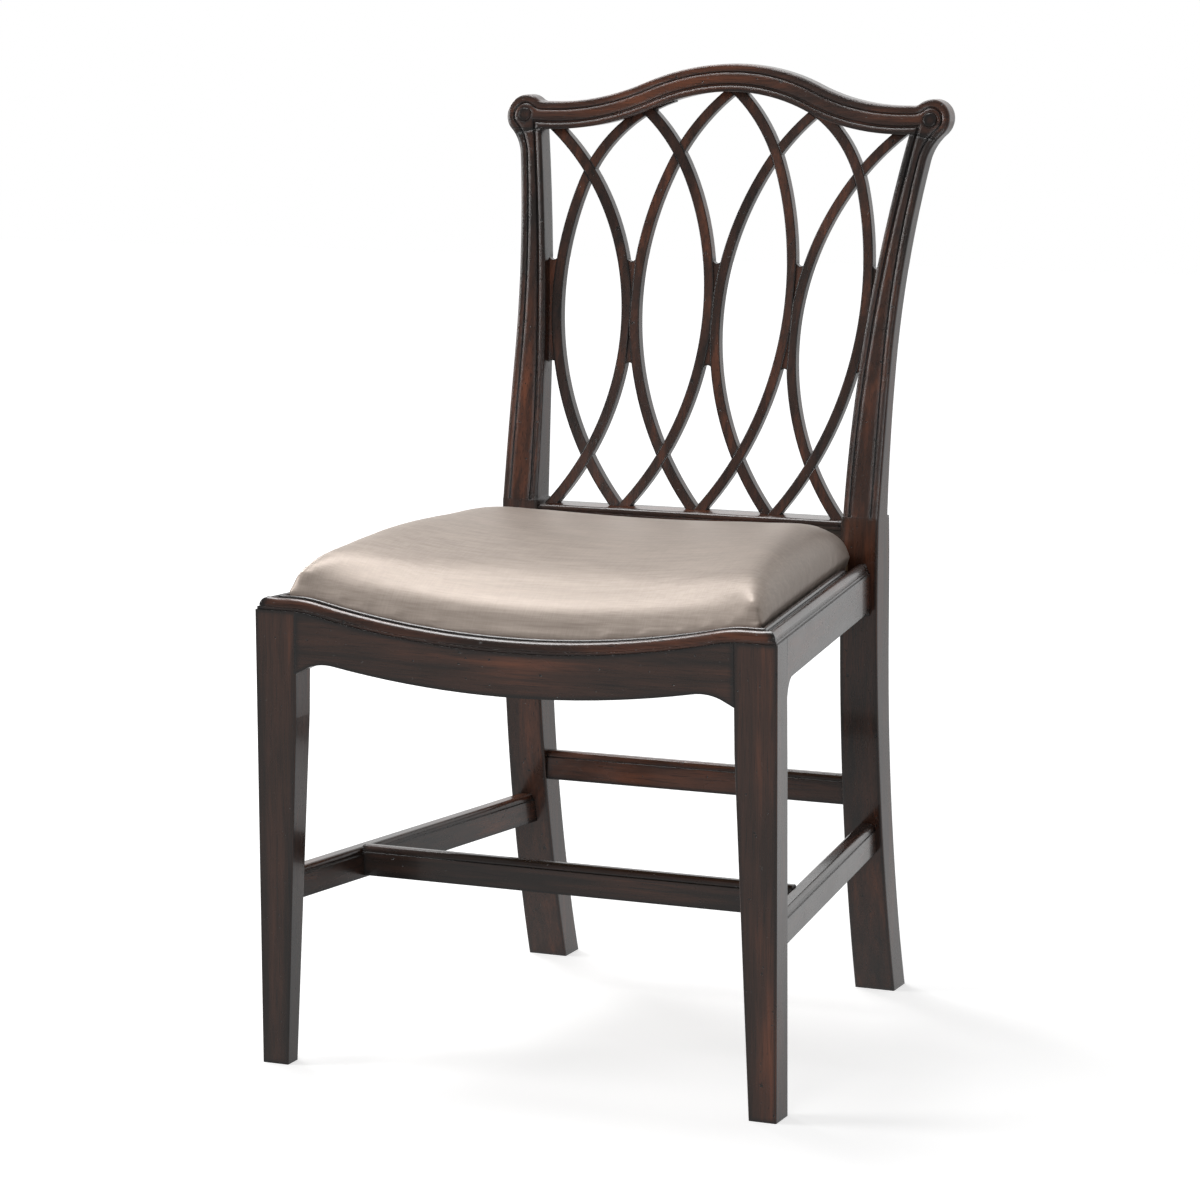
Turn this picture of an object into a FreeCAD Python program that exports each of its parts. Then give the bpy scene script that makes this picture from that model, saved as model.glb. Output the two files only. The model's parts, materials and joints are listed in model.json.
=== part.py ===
import FreeCAD, Part
import math
import os

# Trellis-back side chair in millimetres. +X is to the right as seen from the front, +Z is up and +Y runs
# from the front of the chair to its back. While the pieces are drawn, y is measured from the front faces
# of the front legs; keep() moves them so that the origin is under the middle of the chair.
V = FreeCAD.Vector
ORIGIN_Y = 287.8

# Limits that lie beyond the whole chair
BEYOND_X = 400.0
BEYOND_Y = (-60.0, 700.0)
BEYOND_Z = 1100.0

# Front legs
LEG_OUT_X = 265.0
LEG_TOP_Z = 442.5
LEG_TOP_W = 43.0
# Leg sections from the foot up: height, width, depth, inner chamfer, and how far the outer face turns in
LEG_SECTIONS = ((0.0, 27.3, 30.0, 10.0, 0.0), (340.0, 41.8, 38.4, 9.0, 0.12),
                (LEG_TOP_Z, LEG_TOP_W, 41.0, 9.0, 0.156))
LEG_EASE = 1.2

# Back posts: a raked leg curved to the front, then an upright block at the seat
POST_IN_X = 166.5
POST_OUT_X = 206.0
# Post sections from the foot up: height, inner x, front y and rear y
POST_SECTIONS = ((0.0, 163.5, 485.0, 519.0), (95.0, 164.2, 460.3, 493.2), (190.0, 165.0, 442.2, 475.3),
                 (285.0, 165.8, 430.5, 464.9), (385.0, 166.5, 425.0, 462.0), (497.0, 166.5, 427.0, 460.0))
POST_BLOCK_Z = 497.0
POST_EASE = 1.2

# Front face of the back: raked and curved with height, and bowed back at the middle
BACK_Y = 427.0
BACK_RAKE = 0.19
BACK_CURVE = 0.00015
BACK_Z = (477.0, 960.0)
BACK_STATIONS = (35.0, 70.0, 105.0, 140.0, 170.0, 195.0, 220.0, 250.0)
BOW_DEPTH = 13.0
BOW_HALF = 205.0
FRAME_DEPTH = 22.0
STILE_FOOT_DEPTH = 33.0
STILE_THIN_Z = 620.0
STILE_KNEE = 0.3

# Rounding of the back's edges, and how edges are told apart
REAR_EASE = 4.0
RIM_EASE = 2.0
BEAD_EASE = 0.9
ON_FACE = 0.4
ON_OUTLINE = 0.06
SHORT_EDGE = 1.0

# Crest rail seen from the front: a convex arc, two concave ones, then a round ear
CREST_TOP_Z = 940.0
CREST_LOW_Z = 900.4
CREST_LOW_X = 190.0
CREST_HEIGHT = 28.0
EAR_X = 222.7
EAR_Z = 887.0
EAR_R = 20.2
EAR_NECK_TOP_R = 12.0
EAR_NECK_LOW_R = 45.0
PEG_R = 6.8
PEG_PROUD = 0.7
PEG_LENGTH = 15.0

# Stiles seen from the front, and their joint with the crest
STILE_FLARE_R = 1298.0
STILE_FLARE_Z = 640.0
STILE_IN_X = 168.0
STILE_IN_R = 2033.0
STILE_IN_Z = 500.0
JOINT_FALL = 0.18
JOINT_DIP = 20.0
POST_TENON_X = (204.0, 215.0)
POST_TENON_Z = (856.0, 879.5)
POST_TENON_DEPTH = (6.5, 15.5)

# Moulding on the crest and stiles: outer bead, central torus, inner bead, with quirks between them
RIM_W = 7.5
RIM_QUIRK_W = 1.3
BEAD_W = 6.0
BEAD_QUIRK_W = 2.4
QUIRK_DEPTH = 2.6
AHEAD_OF_FACE = -30.0

# Trellis bars of the right-hand half: arc centre x and z, radius, the height where the bar starts to bend
# more tightly, and its radius from there to the crest
TRELLIS_RECESS = 12.0
TRELLIS_DEPTH = 9.5
BAR_W = 10.5
BAR_TENON = 6.0
BAR_TOP_Z = 922.0
BAR_TOP_SHARE = 0.95
INNER_OVAL_LEFT = (299.2, 687.5, 294.5, 835.0, 211.0)
INNER_OVAL_RIGHT = (-246.0, 709.0, 331.0, 840.0, 190.0)
OUTER_OVAL_LEFT = (359.0, 667.0, 267.0, 835.0, 255.0)
OUTER_OVAL_RIGHT = (-169.5, 714.0, 339.0, 818.0, 136.0)
OVAL_CONTACT_X = 88.7
STILE_CONTACT_X = 177.0
WEB_Z = (632.0, 744.0)
WEB_RECESS = 1.3
WEB_DEPTH = 7.0
WEB_REACH = 30.0
WEB_TONGUE = 1.6
WEB_END_R = 5.0

# Lower back rail (shoe) and back seat rail
SHOE_TOP_Z = 492.5
SHOE_LOW_Z = 483.0
SHOE_FRONT_Y = 427.5
SHOE_REAR_Y = 462.0
SHOE_STRIP_H = 3.6
SHOE_COVE = 2.0
SHOE_ROUND = 4.2
SHOE_TENON_IN = 8.0
SHOE_TENON_DOWN = 3.0
BACK_RAIL_Z = (398.0, 483.0)
BACK_RAIL_Y = (430.0, 454.0)
BACK_TENON = 16.0
BACK_TENON_IN = 7.0
BACK_TENON_SHOULDER = 10.0

# Seat rails, and the dish along the front one
DISH_DEPTH = 25.1
DISH_SHOULDER = 2.5
DISH_ARC_X = 205.0
DISH_FLAT_X = 229.0
RAIL_DEPTH = 32.0
FRONT_LOW_MID_Z = 376.1
FRONT_LOW_END = (182.0, 392.2)
FRONT_LOW_CROWN = (196.0, 392.9)
FRONT_BRACKET = (210.0, 389.4)
FRONT_BRACKET_FOOT = (228.0, 380.5)
SIDE_FRONT = (265.0, 0.0)
SIDE_BACK = (198.5, 426.0)
SIDE_LOW_Z = 404.0
SIDE_BRACKET = (20.0, 26.0)
SIDE_BACK_CHAMFER = 6.0
RAIL_TENON_T = 10.0
RAIL_TENON_LENGTH = 19.0
RAIL_TENON_Z = (408.0, 434.0)
FRONT_TENON_IN = 8.0
SIDE_TENON_IN = 9.0
TENON_ROOT = 30.0
LEG_LAP = 4.0
BRACKET_BEND = 0.3

# Seat edge moulding: plan line of its outer edge and its section
MOULD_SET_BACK = 1.5
MOULD_W = 18.0
MOULD_UNDER = 1.0
MOULD_STATIONS = (30.0, 60.0, 95.0, 130.0, 165.0, 190.0, 205.0, 213.0, 221.0, 229.0, 245.0, LEG_OUT_X)
MITRE_REACH = (-40.0, 60.0)
MOULD_FILLET = (1.5, 2.5)
MOULD_TORUS = ((3.3, 8.6), (7.2, 10.9), (11.4, 8.4))
MOULD_BEAD = ((12.2, 8.4), (13.1, 11.3), (15.2, 12.3), (17.2, 11.6), (18.0, 9.8))

# Stretchers
STRETCHER_W = 16.0
SIDE_STRETCHER_W = 20.0
STRETCHER_EDGE_Z = 23.0
STRETCHER_BEAD = ((1.6, 23.6), (2.4, 27.6), (5.4, 29.8))
STRETCHER_TENON_W = 8.0
STRETCHER_TENON_Z = (5.0, 22.0)
STRETCHER_TENON_LENGTH = 15.0
SIDE_STRETCHER_FRONT = (249.0, 31.0, 157.0)
SIDE_STRETCHER_BACK = (189.5, 445.0, 153.5)
SIDE_STRETCHER_Y = (12.0, 465.0)
CROSS_STRETCHER = (145.0, 158.5)
CROSS_TENON_X = 226.0
REAR_STRETCHER = (451.0, 200.6)

# Corner blocks and screws
BLOCK_Z = (406.0, 424.0)
BLOCK_REACH = 60.0
SCREW_Z = 415.0
SCREW_R = 2.2
SCREW_HEAD = (4.2, 3.0)
SCREW_LENGTH = 34.0
SCREW_SINK = 6.0
SCREW_SHARES = (0.38, 0.66)

# Slip seat: plywood panel, foam and cover inside the mouldings
PANEL_T = 9.0
PANEL_LIFT = 0.3
PANEL_FRONT_Y = 21.1
PANEL_BACK_Y = 423.0
PANEL_FRONT_HALF = 240.3
PANEL_BACK_HALF = 177.4
PANEL_BACK_DISH = 7.0
COVER_T = 1.5
COVER_HEM = 0.7
FOAM_Y = (48.0, 384.0)
FOAM_IN = 6.0
FOAM_T = 28.0
CUSHION_EDGE_H = 13.0
CUSHION_RIDGE_IN = 22.0
CUSHION_BULGE = 5.0
CUSHION_BULGE_AT = 0.55
CUSHION_FULL_RISE = 18.0
# Cushion sections: y, height of the crown's side ridges, height of its middle
CUSHION = ((21.1, 459.5, 433.5), (23.5, 467.5, 444.0), (32.0, 478.5, 459.0), (50.0, 490.0, 472.0),
           (85.0, 498.5, 484.0), (135.0, 505.0, 491.5), (200.0, 508.5, 496.0), (290.0, 508.0, 499.0),
           (350.0, 502.0, 497.0), (390.0, 491.0, 488.5), (412.0, 475.0, 474.0), (422.5, 460.0, 459.0))


def arc(centre, radius, start, end):
    """Edge in the XZ plane: part of a circle between two angles in degrees."""
    def at(angle):
        a = math.radians(angle)
        return V(centre[0] + radius * math.cos(a), 0, centre[1] + radius * math.sin(a))
    return Part.Arc(at(start), at(0.5 * (start + end)), at(end)).toShape()


def bend(a, b, c):
    """Arc edge in the XZ plane through three points."""
    return Part.Arc(*[V(p[0], 0, p[1]) for p in (a, b, c)]).toShape()


def line(a, b):
    return Part.LineSegment(V(a[0], 0, a[1]), V(b[0], 0, b[1])).toShape()


def lines(points):
    return [line(a, b) for a, b in zip(points, points[1:])]


def end_of(edge):
    last = edge.valueAt(edge.LastParameter)
    return last.x, last.z


def start_of(edge):
    first = edge.valueAt(edge.FirstParameter)
    return first.x, first.z


def meet(c1, r1, c2, r2):
    """The lower of the two points where two circles cross."""
    dx, dz = c2[0] - c1[0], c2[1] - c1[1]
    d = math.hypot(dx, dz)
    along = (d * d + r1 * r1 - r2 * r2) / (2 * d)
    off = math.sqrt(r1 * r1 - along * along)
    mid = (c1[0] + along * dx / d, c1[1] + along * dz / d)
    points = [(mid[0] - s * off * dz / d, mid[1] + s * off * dx / d) for s in (1, -1)]
    return min(points, key=lambda p: p[1])


def angle_from(centre, point):
    return math.degrees(math.atan2(point[1] - centre[1], point[0] - centre[0]))


def flat_face(edges):
    return Part.Face(Part.Wire(Part.__sortEdges__(edges)))


def through_y(edges, near=BEYOND_Y[0], far=BEYOND_Y[1]):
    """Solid made by pushing a closed outline in the XZ plane along Y."""
    face = flat_face(edges)
    face.translate(V(0, near, 0))
    return face.extrude(V(0, far - near, 0))


def plan_prism(points, z_limits):
    corners = [V(x, y, z_limits[0]) for x, y in points]
    face = Part.Face(Part.makePolygon(corners + corners[:1]))
    return face.extrude(V(0, 0, z_limits[1] - z_limits[0]))


def box(x, y, z):
    """Block between three pairs of limits."""
    return Part.makeBox(x[1] - x[0], y[1] - y[0], z[1] - z[0], V(x[0], y[0], z[0]))


def mirrored(shape):
    return shape.mirror(V(0, 0, 0), V(1, 0, 0))


def rod(centre, radius):
    """Cylinder along Y right through the chair, centred at (x, z)."""
    near, far = BEYOND_Y
    return Part.makeCylinder(radius, far - near, V(centre[0], near, centre[1]), V(0, 1, 0))


def cut_all(shape, tools):
    for tool in tools:
        shape = shape.cut(tool)
    return shape


def rounded(points, radius, z):
    """Closed wire through the points at height z, with its corners rounded."""
    corners = [V(x, y, z) for x, y in points]
    bends = []
    for k, p in enumerate(corners):
        back = (corners[k - 1] - p).normalize() * radius
        ahead = (corners[(k + 1) % len(corners)] - p).normalize() * radius
        bends.append((p + back, p + (back + ahead) * (1 - math.sqrt(0.5)), p + ahead))
    edges = []
    for k, points_of_bend in enumerate(bends):
        edges.append(Part.Arc(*points_of_bend).toShape())
        edges.append(Part.LineSegment(points_of_bend[2], bends[(k + 1) % len(bends)][0]).toShape())
    return Part.Wire(edges)


def back_y(z):
    t = z - POST_BLOCK_Z
    return BACK_Y + BACK_RAKE * t + BACK_CURVE * t * t


def bow(x):
    t = min(1.0, (x / BOW_HALF) ** 2)
    return BOW_DEPTH * (1 - t) ** 2


def both_sides(stations):
    """Stations of one half, of its mirror image and of the middle, from left to right."""
    return [-x for x in reversed(stations)] + [0.0] + list(stations)


def back_layer(front, back, thick_foot=0.0):
    """Curved layer of the back between two depths behind its front face."""
    low, high = BACK_Z

    def section(x):
        def at(z, depth):
            return V(x, back_y(z) + bow(x) + depth, z)

        def rise(z0, d0, d_mid, z1, d1):
            return Part.Arc(at(z0, d0), at(0.5 * (z0 + z1), d_mid), at(z1, d1)).toShape()
        foot = back + thick_foot
        knee = back + STILE_KNEE * thick_foot
        return Part.Wire([
            Part.LineSegment(at(low, front), at(low, foot)).toShape(),
            rise(low, foot, knee, STILE_THIN_Z, back),
            rise(STILE_THIN_Z, back, back, high, back),
            Part.LineSegment(at(high, back), at(high, front)).toShape(),
            rise(high, front, front, low, front)])
    return Part.makeLoft([section(x) for x in both_sides(BACK_STATIONS)], True)


# Outlines of the back frame's right half, from the middle of the crest to the foot of the stile. Inset
# outlines keep the same arc centres and lie deeper in the wood.
CREST_RISE = 0.5 * (CREST_TOP_Z - CREST_LOW_Z)
CREST_R = (0.25 * CREST_LOW_X ** 2 + CREST_RISE ** 2) / (2 * CREST_RISE)
CREST_TURN = math.degrees(math.asin(0.5 * CREST_LOW_X / CREST_R))
CREST_HILL = (0.0, CREST_TOP_Z - CREST_R)
CREST_DALE = (CREST_LOW_X, CREST_LOW_Z + CREST_R)
EAR = (EAR_X, EAR_Z)
STILE_FLARE = (POST_OUT_X + STILE_FLARE_R, STILE_FLARE_Z)
STILE_INNER = (STILE_IN_X + STILE_IN_R, STILE_IN_Z)


def outer_outline(inset):
    neck_z = CREST_LOW_Z + EAR_NECK_TOP_R
    neck_x = EAR_X - math.sqrt((EAR_R + EAR_NECK_TOP_R) ** 2 - (neck_z - EAR_Z) ** 2)
    neck = (neck_x, neck_z)
    neck_end = angle_from(neck, EAR) + 360
    low_neck = meet(EAR, EAR_R + EAR_NECK_LOW_R, STILE_FLARE, STILE_FLARE_R - EAR_NECK_LOW_R)
    ear_end = angle_from(EAR, low_neck)
    flare_start = angle_from(STILE_FLARE, low_neck)
    low_z = CREST_LOW_Z - inset
    edge_x = POST_OUT_X - inset
    return [arc(CREST_HILL, CREST_R - inset, 90, 90 - CREST_TURN),
            arc(CREST_DALE, CREST_R + inset, 270 - CREST_TURN, 270),
            line((CREST_LOW_X, low_z), (neck_x, low_z)),
            arc(neck, EAR_NECK_TOP_R + inset, 270, neck_end),
            arc(EAR, EAR_R - inset, neck_end - 180, ear_end),
            arc(low_neck, EAR_NECK_LOW_R + inset, ear_end + 180, flare_start),
            arc(STILE_FLARE, STILE_FLARE_R + inset, flare_start, 180),
            line((edge_x, STILE_FLARE_Z), (edge_x, POST_BLOCK_Z))]


def inner_corner(inset):
    return meet(CREST_DALE, CREST_R + CREST_HEIGHT - inset, STILE_INNER, STILE_IN_R - inset)


def inner_outline(inset, foot_z=POST_BLOCK_Z):
    corner = inner_corner(inset)
    dale_r = CREST_R + CREST_HEIGHT - inset
    foot_x = STILE_IN_X + inset
    return [arc(CREST_HILL, CREST_R - CREST_HEIGHT + inset, 90, 90 - CREST_TURN),
            arc(CREST_DALE, dale_r, 270 - CREST_TURN, angle_from(CREST_DALE, corner) + 360),
            arc(STILE_INNER, STILE_IN_R - inset, angle_from(STILE_INNER, corner), 180),
            line((foot_x, STILE_IN_Z), (foot_x, foot_z))]


def with_mirror(half):
    return half + [mirrored(edge) for edge in half]


def band(outer, inner):
    """Solid between two half outlines and their mirror images."""
    foot = line(end_of(outer[-1]), end_of(inner[-1]))
    return through_y(with_mirror(outer + inner + [foot]))


def opening(inset, foot_z):
    """Solid that fills the frame's opening, down to the given height."""
    half = inner_outline(inset, foot_z)
    foot = end_of(half[-1])
    return through_y(with_mirror(half + [line(foot, (0, foot[1]))]))


def ease_back(frame):
    """Round the arrises of the mouldings and, more, the rear outer edge of the back."""
    outline = Part.Wire(Part.__sortEdges__(outer_outline(0)))

    def middle(edge):
        return edge.valueAt(0.5 * (edge.FirstParameter + edge.LastParameter))

    def is_front(p):
        return abs(p.y - back_y(p.z) - bow(p.x)) < ON_FACE

    def is_rear(p):
        return p.y - back_y(p.z) - bow(p.x) > FRAME_DEPTH / 2

    def is_outer(p):
        return Part.Vertex(V(abs(p.x), 0, p.z)).distToShape(outline)[0] < ON_OUTLINE

    def eased(solid, radius, wanted):
        edges = [e for e in solid.Edges if e.Length > SHORT_EDGE and middle(e).z > POST_BLOCK_Z + ON_FACE]
        return solid.makeFillet(radius, [e for e in edges if wanted(middle(e))])
    frame = eased(frame, REAR_EASE, lambda p: is_rear(p) and is_outer(p))
    frame = eased(frame, RIM_EASE, lambda p: is_front(p) and is_outer(p))
    return eased(frame, BEAD_EASE, lambda p: is_front(p) and not is_outer(p))


def back_frame():
    """Crest and stiles in one, with the quirks of the moulding cut in."""
    layer = back_layer(0, FRAME_DEPTH, STILE_FOOT_DEPTH - FRAME_DEPTH)
    skin = back_layer(AHEAD_OF_FACE, QUIRK_DEPTH)
    rim_quirk = band(outer_outline(RIM_W), outer_outline(RIM_W + RIM_QUIRK_W))
    bead_quirk = band(inner_outline(BEAD_W + BEAD_QUIRK_W), inner_outline(BEAD_W))
    frame = band(outer_outline(0), inner_outline(0)).common(layer)
    return ease_back(cut_all(frame, [rim_quirk.common(skin), bead_quirk.common(skin)]))


def crest_region():
    """Everything above the joints between crest and posts."""
    corner = inner_corner(0)
    fall_z = corner[1] - JOINT_FALL * (BEYOND_X - corner[0])
    dip_z = corner[1] - JOINT_DIP
    half = lines([(0, dip_z), (corner[0] - JOINT_DIP, dip_z), corner, (BEYOND_X, fall_z),
                  (BEYOND_X, BEYOND_Z), (0, BEYOND_Z)])
    return through_y(with_mirror(half))


def ear_peg():
    slope = BACK_RAKE + 2 * BACK_CURVE * (EAR_Z - POST_BLOCK_Z)
    inward = V(0, 1, -slope)
    inward.normalize()
    start = V(EAR_X, back_y(EAR_Z), EAR_Z) - inward * PEG_PROUD
    peg = Part.makeCylinder(PEG_R, PEG_LENGTH, start, inward)
    front = [e for e in peg.Edges if (e.CenterOfMass - start).Length < 0.01]
    return peg.makeFillet(0.5 * PEG_PROUD, front)


def post_leg():
    """Back leg and seat block of the right-hand post, before any mortises."""
    def section(z, x_in, front, rear):
        return rounded([(x_in, front), (POST_OUT_X, front), (POST_OUT_X, rear), (x_in, rear)], POST_EASE, z)
    return Part.makeLoft([section(*row) for row in POST_SECTIONS], True)


def front_leg():
    """Right-hand front leg: its outer face lies in line with the side rail."""
    def section(z, w, d, cut, splay):
        x_in = LEG_OUT_X - w
        points = [(LEG_OUT_X, 0), (LEG_OUT_X - splay * d, d), (x_in + cut, d), (x_in, d - cut), (x_in, 0)]
        return rounded(points, LEG_EASE, z)
    return Part.makeLoft([section(*row) for row in LEG_SECTIONS], True, True)


def bar_arcs(spec, side, offset):
    """Edges of one long side of a bar, from the foot up; side is 1 for a right-hand bar, -1 for a left."""
    x, z, radius, turn_z, top_radius = spec

    def angle(height, centre_z, r):
        a = math.degrees(math.asin((height - centre_z) / r))
        return a if side > 0 else 180 - a
    turn = angle(turn_z, z, radius)
    shift = radius - top_radius
    top = (x + shift * math.cos(math.radians(turn)), z + shift * math.sin(math.radians(turn)))
    foot_z = SHOE_TOP_Z - 2 * BAR_TENON
    top_z = min(BAR_TOP_Z, top[1] + BAR_TOP_SHARE * top_radius)
    return [arc((x, z), radius + offset, angle(foot_z, z, radius), turn),
            arc(top, top_radius + offset, turn, angle(top_z, top[1], top_radius))]


def bar_ring(spec, side):
    """Prism of one bar through the whole depth of the chair."""
    outer = bar_arcs(spec, side, 0.5 * BAR_W)
    inner = bar_arcs(spec, side, -0.5 * BAR_W)
    foot = line(start_of(outer[0]), start_of(inner[0]))
    head = line(end_of(outer[1]), end_of(inner[1]))
    return through_y(outer + inner + [foot, head])


def flipped(spec):
    return (-spec[0],) + spec[1:]


def trellis():
    """The four ovals, left to right, as pairs of half-lapped bars, the webs between them, and whole bars."""
    ovals = [(flipped(OUTER_OVAL_RIGHT), flipped(OUTER_OVAL_LEFT)),
             (flipped(INNER_OVAL_RIGHT), flipped(INNER_OVAL_LEFT)),
             (INNER_OVAL_LEFT, INNER_OVAL_RIGHT), (OUTER_OVAL_LEFT, OUTER_OVAL_RIGHT)]
    contacts = (-STILE_CONTACT_X, -OVAL_CONTACT_X, 0.0, OVAL_CONTACT_X, STILE_CONTACT_X)
    middle = TRELLIS_RECESS + 0.5 * TRELLIS_DEPTH
    layer = back_layer(TRELLIS_RECESS, TRELLIS_RECESS + TRELLIS_DEPTH)
    front_lap = back_layer(0.0, middle)
    rear_lap = back_layer(middle, 2 * middle)
    slab = layer.common(opening(BAR_TENON, SHOE_TOP_Z - BAR_TENON))
    webs = trellis_webs(ovals, contacts)
    left_rings = [bar_ring(left, -1) for left, right in ovals]
    right_rings = [bar_ring(right, 1) for left, right in ovals]
    bars = []
    whole_bars = [slab.common(ring) for pair in zip(left_rings, right_rings) for ring in pair]
    for k in range(len(ovals)):
        left_laps = [left_rings[k].common(ring).common(front_lap) for ring in right_rings[k:k + 2]]
        crossing = left_rings[max(0, k - 1):k + 1]
        right_laps = [right_rings[k].common(ring).common(rear_lap) for ring in crossing]
        beyond_left = box((-BEYOND_X, contacts[k]), BEYOND_Y, WEB_Z)
        beyond_right = box((contacts[k + 1], BEYOND_X), BEYOND_Y, WEB_Z)
        left_bar = cut_all(whole_bars[2 * k], left_laps)
        right_bar = cut_all(whole_bars[2 * k + 1], right_laps)
        bars.append(cut_all(left_bar, [beyond_left] + webs[k:k + 1]))
        bars.append(cut_all(right_bar, [beyond_right] + webs[k + 1:k + 2]))
    return bars, webs, whole_bars


def trellis_webs(ovals, contacts):
    """Thin infills at the waists, tongued into the bars and stiles beside them."""
    near = TRELLIS_RECESS + WEB_RECESS
    layer = back_layer(near, near + WEB_DEPTH).common(box((-BEYOND_X, BEYOND_X), BEYOND_Y, WEB_Z))
    layer = layer.common(opening(WEB_TONGUE, SHOE_TOP_Z))
    reach = 0.5 * BAR_W - WEB_TONGUE
    discs = [[rod(spec[:2], spec[2] + reach) for spec in pair] for pair in ovals]
    webs = []
    for k in range(len(ovals) + 1):
        web = layer.common(box((contacts[k] - WEB_REACH, contacts[k] + WEB_REACH), BEYOND_Y, WEB_Z))
        if k > 0:
            web = web.cut(discs[k - 1][1])
        if k < len(ovals):
            web = web.cut(discs[k][0])
        for z in WEB_Z:
            web = web.cut(rod((web_middle(ovals, k, z), z), WEB_END_R))
        webs.append(web)
    return webs


def web_middle(ovals, k, z):
    """Middle of the gap at a web's end."""
    def edge(spec, side):
        return spec[0] + side * math.sqrt((spec[2] + 0.5 * BAR_W) ** 2 - (z - spec[1]) ** 2)
    stile = STILE_INNER[0] - math.sqrt(STILE_IN_R ** 2 - (z - STILE_IN_Z) ** 2)
    left = -stile if k == 0 else edge(ovals[k - 1][1], 1)
    right = stile if k == len(ovals) else edge(ovals[k][0], -1)
    return 0.5 * (left + right)


def shoe():
    """Lower back rail: strip, cove and rounded top, with a tenon into each post."""
    y0, y1 = SHOE_FRONT_Y, SHOE_REAR_Y
    cove_z = SHOE_LOW_Z + SHOE_STRIP_H
    round_z = SHOE_TOP_Z - SHOE_ROUND
    turn = SHOE_ROUND * (1 - math.sqrt(0.5))

    def at(y, z):
        return V(-POST_IN_X, y, z)
    points = [(y0 + SHOE_ROUND, SHOE_TOP_Z), (y1, SHOE_TOP_Z), (y1, SHOE_LOW_Z), (y0, SHOE_LOW_Z),
              (y0, cove_z), (y0 + SHOE_COVE, cove_z), (y0 + SHOE_COVE, round_z), (y0, round_z)]
    edges = [Part.LineSegment(at(*a), at(*b)).toShape() for a, b in zip(points, points[1:])]
    edges.append(Part.Arc(at(*points[-1]), at(y0 + turn, SHOE_TOP_Z - turn), at(*points[0])).toShape())
    rail = flat_face(edges).extrude(V(2 * POST_IN_X, 0, 0))
    reach = POST_IN_X + BACK_TENON
    tenon = box((-reach, reach), (y0 + SHOE_TENON_IN, y1 - SHOE_TENON_IN),
                (SHOE_LOW_Z, SHOE_TOP_Z - SHOE_TENON_DOWN))
    return rail.fuse(tenon).removeSplitter()


def back_seat_rail():
    low, high = BACK_RAIL_Z
    near, far = BACK_RAIL_Y
    rail = box((-POST_IN_X, POST_IN_X), BACK_RAIL_Y, BACK_RAIL_Z)
    reach = POST_IN_X + BACK_TENON
    tenon = box((-reach, reach), (near + BACK_TENON_IN, far - BACK_TENON_IN),
                (low + BACK_TENON_SHOULDER, high - BACK_TENON_SHOULDER))
    return rail.fuse(tenon).removeSplitter()


def dish_line(scale, depth, level, half):
    """Edges from x = -half to half: flat, shoulder, dish, shoulder, flat."""
    fall = DISH_SHOULDER * depth / DISH_DEPTH
    arc_x, flat_x = DISH_ARC_X * scale, DISH_FLAT_X * scale
    shoulder = (0.5 * (arc_x + flat_x), level - 0.25 * fall)

    def side(s):
        return ((s * half, level), (s * flat_x, level), (s * shoulder[0], shoulder[1]),
                (s * arc_x, level - fall))
    left, right = side(-1), side(1)
    return [line(left[0], left[1]), bend(*left[1:]), bend(left[3], (0, level - depth), right[3]),
            bend(right[3], right[2], right[1]), line(right[1], right[0])]


def dish_drop(x):
    """How far the front rail's top lies below the leg tops."""
    chord = DISH_DEPTH - DISH_SHOULDER
    radius = (DISH_ARC_X ** 2 + chord ** 2) / (2 * chord)
    if abs(x) >= DISH_FLAT_X:
        return 0.0
    if abs(x) <= DISH_ARC_X:
        return DISH_DEPTH - (radius - math.sqrt(radius ** 2 - x ** 2))
    return DISH_SHOULDER * ((DISH_FLAT_X - abs(x)) / (DISH_FLAT_X - DISH_ARC_X)) ** 2


def front_rail(legs):
    half = FRONT_BRACKET_FOOT[0] + LEG_LAP
    top = dish_line(1.0, DISH_DEPTH, LEG_TOP_Z, half)
    end = FRONT_LOW_END
    right = [line((half, LEG_TOP_Z), (half, FRONT_BRACKET_FOOT[1])),
             line((half, FRONT_BRACKET_FOOT[1]), FRONT_BRACKET_FOOT),
             line(FRONT_BRACKET_FOOT, FRONT_BRACKET), bend(FRONT_BRACKET, FRONT_LOW_CROWN, end)]
    arch = bend(end, (0, FRONT_LOW_MID_Z), (-end[0], end[1]))
    rail = through_y(top + with_mirror(right) + [arch], 0, RAIL_DEPTH)
    rail = cut_all(rail, legs)
    shoulder = LEG_OUT_X - LEG_TOP_W
    reach, root = shoulder + RAIL_TENON_LENGTH, shoulder - TENON_ROOT
    tenon_y = (FRONT_TENON_IN, FRONT_TENON_IN + RAIL_TENON_T)
    ends = [box(x, tenon_y, RAIL_TENON_Z) for x in ((-reach, -root), (root, reach))]
    return rail.fuse(ends[0]).fuse(ends[1]).removeSplitter()


SIDE_RUN = V(SIDE_BACK[0] - SIDE_FRONT[0], SIDE_BACK[1] - SIDE_FRONT[1], 0)
SIDE_LENGTH = SIDE_RUN.Length
SIDE_ALONG = V(SIDE_RUN).normalize()
SIDE_INWARD = V(-SIDE_ALONG.y, SIDE_ALONG.x, 0)


def side_point(along, inward, z):
    """Point beside the right-hand side rail, from the front end of its outer face."""
    return V(SIDE_FRONT[0], SIDE_FRONT[1], 0) + SIDE_ALONG * along + SIDE_INWARD * inward + V(0, 0, z)


def side_prism(outline, inward, depth):
    """Solid from an elevation outline of edges on the side rail's outer face."""
    face = flat_face(outline)
    face.translate(SIDE_INWARD * inward)
    return face.extrude(SIDE_INWARD * depth)


def side_lines(points):
    corners = [side_point(s, 0, z) for s, z in points]
    return [Part.LineSegment(a, b).toShape() for a, b in zip(corners, corners[1:])]


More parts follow.
